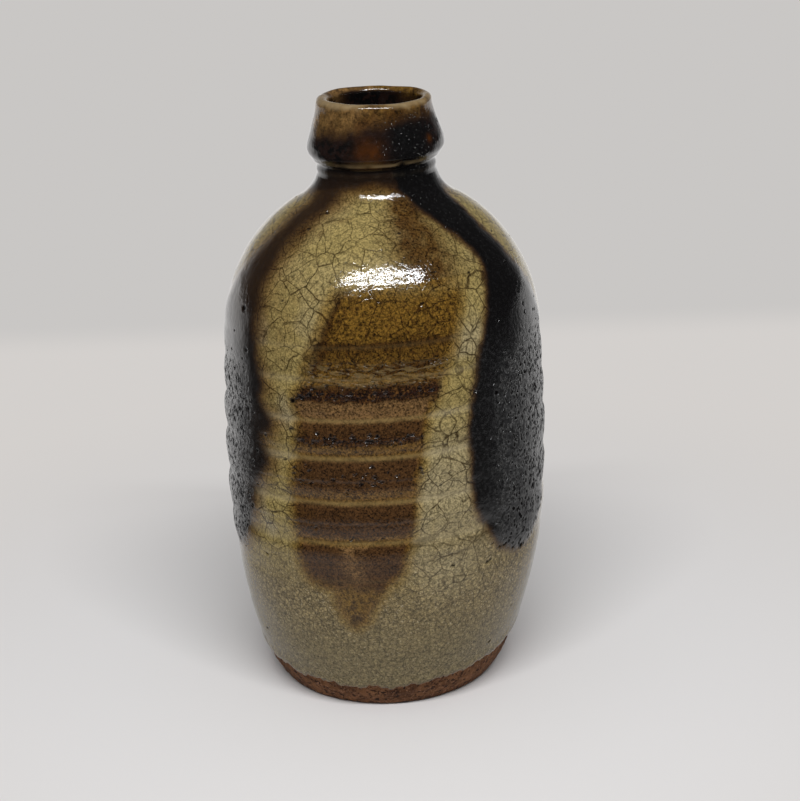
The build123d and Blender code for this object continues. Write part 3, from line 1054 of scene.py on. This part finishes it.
def cavity_outline(inset, throat_radius, start_drop, step):
    """The hollow from below the rim to the middle of the floor, set in from the glazed outside."""
    lower, upper, shoulder = (points[::-7] for points in wall_arcs(inset))
    sweep_height = FLOOR_HEIGHT + 12.4
    lower = lower[lower[:, 1] > sweep_height]
    way = (sin(SHOULDER_LEAN), -cos(SHOULDER_LEAN))
    bottom = lower[-1] - lower[-2]
    bottom = bottom / np.hypot(*bottom)
    floor = FLOOR_HEIGHT + inset - WALL_THICKNESS - GLAZE
    throat = (throat_radius, RIM_HEIGHT - 16)
    return joined(
        line((throat_radius, RIM_HEIGHT - start_drop), throat, step),
        sweep(throat, (0, -1), shoulder[0], way, step),
        shoulder, upper, lower,
        sweep(lower[-1], bottom, (FLOOR_FLAT_RADIUS, floor), (-1, 0), step),
        line((FLOOR_FLAT_RADIUS, floor), (AXIS_HOLE, floor), step),
    )


def cut_marks(x, y):
    """Curved lines that the cutting thread left on the base."""
    return -0.1 * (1 + np.sin(np.hypot(x + 26, y - 9) * 2.1 + 0.6 * np.sin(x * 0.3)))


def clay_piece():
    """The thrown body: base, bevelled foot, wall behind the glaze, rim and hollow."""
    lower, upper, shoulder = wall_arcs(UNDER_GLAZE)
    lower = lower[lower[:, 1] > HEEL_HEIGHT + 0.2]
    base, bevel = (FOOT_RADIUS - 0.7, 0), (FOOT_RADIUS + 0.6, 0.95)
    heel = (HEEL_RADIUS - 0.9, HEEL_HEIGHT - 0.4)
    foot = joined(
        line((AXIS_HOLE, 0), base, 1),
        sweep(base, (1, 0), bevel, (0.55, 0.83), 0.25),
        line(bevel, heel),
        sweep(heel, (0.55, 0.83), lower[0], (0.34, 0.94), 0.3),
        lower[lower[:, 1] < CLAY_SEEN_HEIGHT],
    )
    wall = joined(lower[lower[:, 1] >= CLAY_SEEN_HEIGHT], upper, shoulder)
    wall = spaced(wall, int(len(wall) * ROW_STEP / 1.3))
    neck = neck_outline()
    neck = neck[:np.argmax(neck[:, 1])]
    neck = spaced(neck + outline_normals(neck) * -0.95, 30)
    hollow = cavity_outline(WALL_THICKNESS, MOUTH_RADIUS + 0.6, 0.3, 2.5)
    outline = joined(foot, wall, neck, hollow[2:])
    outer = np.arange(len(outline)) < len(foot) + len(wall)

    def relief(turn, radius, height, places):
        sunk = 0.33 * smooth(0.6, 3, height - along(GLAZE_LINE, turn, 360))
        seen = smooth(CLAY_SEEN_HEIGHT + 3, CLAY_SEEN_HEIGHT, height)
        sand = lattice_noise(places, 1.1, 111) * 0.07 + layered_noise(places, 5, 112, 3) * 0.16
        chips = -0.5 * smooth(0.35, 0.7, layered_noise(places, 3.5, 113)) * bump(0.6, 1, height)
        under = np.minimum(cut_marks(places[..., 0], places[..., 1]) + sand, 0) * smooth(31, 28, radius)
        outside_wall = form_relief(turn, height, places) - sunk + (sand + chips) * seen
        outside_wall = np.where(height < 0.1, under, outside_wall)
        return np.where(outer[:, None], outside_wall * smooth(0, 0.5, radius / 10), 0)

    turned("clay_body", "stoneware_body", outline, 360, clay_material(), relief)


def liner_piece():
    """Glaze over the hollow, from inside the mouth to the floor."""
    front = cavity_outline(WALL_THICKNESS + GLAZE, MOUTH_RADIUS + 0.05, THROAT_GLAZE - 0.8, 1.2)
    back = cavity_outline(WALL_THICKNESS + 0.1, MOUTH_RADIUS + 0.45, THROAT_GLAZE - 0.8, 2.5)
    outline = joined(back[::-1], front)

    def relief(turn, radius, height, places):
        return layered_noise(places, 12, 121) * 0.04

    turned("liner_glaze", "inner_glaze", outline, 180, liner_material(), relief)


glaze_pieces(glaze_material())
clay_piece()
liner_piece()


# ---- Stage, light and camera
HORIZON_Y = 308
BRIGHTENS = (0.25, 0.68)
STAGE_HALF_WIDTH = 8
LIT_REACH = 120
PAPER = (0.78, 0.76, 0.745)
FAR_PAPER = (0.655, 0.63, 0.61)
BACKDROP = (0.585, 0.57, 0.557)
DARK_ROOM = (0.035, 0.035, 0.036)
PALE_ROOM = (0.95, 0.935, 0.925)
SKY = (0.98, 0.985, 1)

LAMP_COLOUR = (0.97, 0.98, 1)
LAMP_POWER = 9.8
LAMP_SIZE = (0.95, 0.04)
LAMP_DISTANCE = 1
LAMP_AIM = (0, 0, 0.11)
LAMP_AZIMUTH = radians(-88)
LAMP_ELEVATION = radians(55)

FOCAL_LENGTH = 80.29
SENSOR_WIDTH = 36
CAMERA_DISTANCE = 502.98
CAMERA_ELEVATION = radians(19.61)
CAMERA_AIM = (-1.1, 82.5)
CAMERA_TURNS = ((-0.669, "Z"), (90 - 20.007, "X"), (-1.616, "Z"))


def stage():
    """Pale paper under the bottle, which turns into an even backdrop behind it and far away.

    In the glaze only the paper near the bottle shows bright, as in a room where little else is lit.
    """
    half = STAGE_HALF_WIDTH
    corners = ((-half, -half, 0), (half, -half, 0), (half, half, 0), (-half, half, 0))
    mesh = bpy.data.meshes.new("paper")
    mesh.from_pydata(corners, [], [(0, 1, 2, 3)])
    shader = Material("paper")
    step, both, blended = shader.step, shader.both, shader.blended

    def glow(colour):
        return shader.node("Emission", {"Color": colour})

    mesh.materials.append(shader.finished(Base_Color=PAPER, Roughness=0.9, Specular_IOR_Level=0.1))
    y = shader.node("SeparateXYZ", {0: shader.places}, "Y")
    reach = shader.node("VectorMath", {0: shader.places}, "Value", operation="LENGTH")
    far = shader.math("MAXIMUM", step(HORIZON_Y - 20, HORIZON_Y + 30, y), step(500, 1500, reach))
    even = both(shader.ray("Camera"), step(70, 240, reach))
    seen = blended(even, shader.surface.outputs[0], blended(far, glow(FAR_PAPER), glow(BACKDROP)))
    unlit = both(shader.ray("Glossy"), step(LIT_REACH - 60, LIT_REACH + 60, reach))
    mirrored = blended(step(*BRIGHTENS, shader.math("DIVIDE", y, reach)), glow(DARK_ROOM), glow(PALE_ROOM))
    shader.show(blended(unlit, seen, mirrored))
    added("paper", mesh)


def lighting():
    """One wide lamp in front and above, and a room that mirrors dark in front and pale behind."""
    lamp = bpy.data.lights.new("key", "AREA")
    lamp.shape, lamp.energy, lamp.color = "RECTANGLE", LAMP_POWER, LAMP_COLOUR
    lamp.size, lamp.size_y = LAMP_SIZE
    holder = added("key", lamp)
    flat = cos(LAMP_ELEVATION)
    way = Vector((cos(LAMP_AZIMUTH) * flat, sin(LAMP_AZIMUTH) * flat, sin(LAMP_ELEVATION)))
    holder.location = way * LAMP_DISTANCE + Vector(LAMP_AIM)
    holder.rotation_euler = way.to_track_quat("Z", "Y").to_euler()

    world = bpy.data.worlds.new("room")
    bpy.context.scene.world = world
    room = Nodes(world)
    way = room.node("TexCoord", output="Generated")
    y, z = (room.node("SeparateXYZ", {0: way}, axis) for axis in "YZ")

    def glow(colour, strength=1):
        return room.node("Background", {"Color": colour, "Strength": strength})

    around = room.both(room.step(0.58, 0.95, y, "LINEAR"), room.step(0.4, 0.02, z, "LINEAR"))
    mirrored = room.blended(around, glow(DARK_ROOM), glow(PALE_ROOM, 0.6))
    lit = room.blended(room.ray("Glossy"), glow(SKY, room.scaled(0.06, 0.42, z)), mirrored)
    room.show(room.blended(room.ray("Camera"), lit, glow(BACKDROP)))


def camera():
    """The photograph's camera: a little above the rim, tipped down 20 degrees."""
    lens = bpy.data.cameras.new("camera")
    lens.lens, lens.sensor_width = FOCAL_LENGTH, SENSOR_WIDTH
    lens.clip_start, lens.clip_end = 0.01, 20
    across, up = CAMERA_AIM
    flat, rise = CAMERA_DISTANCE * cos(CAMERA_ELEVATION), CAMERA_DISTANCE * sin(CAMERA_ELEVATION)
    matrix = Matrix.Translation(Vector((across, -flat, up + rise)) * MM)
    for angle, axis in CAMERA_TURNS:
        matrix = matrix @ Matrix.Rotation(radians(angle), 4, axis)
    bpy.context.scene.camera = added("camera", lens)
    bpy.context.scene.camera.matrix_world = matrix


stage()
lighting()
camera()
bpy.context.scene.view_settings.view_transform = "Standard"
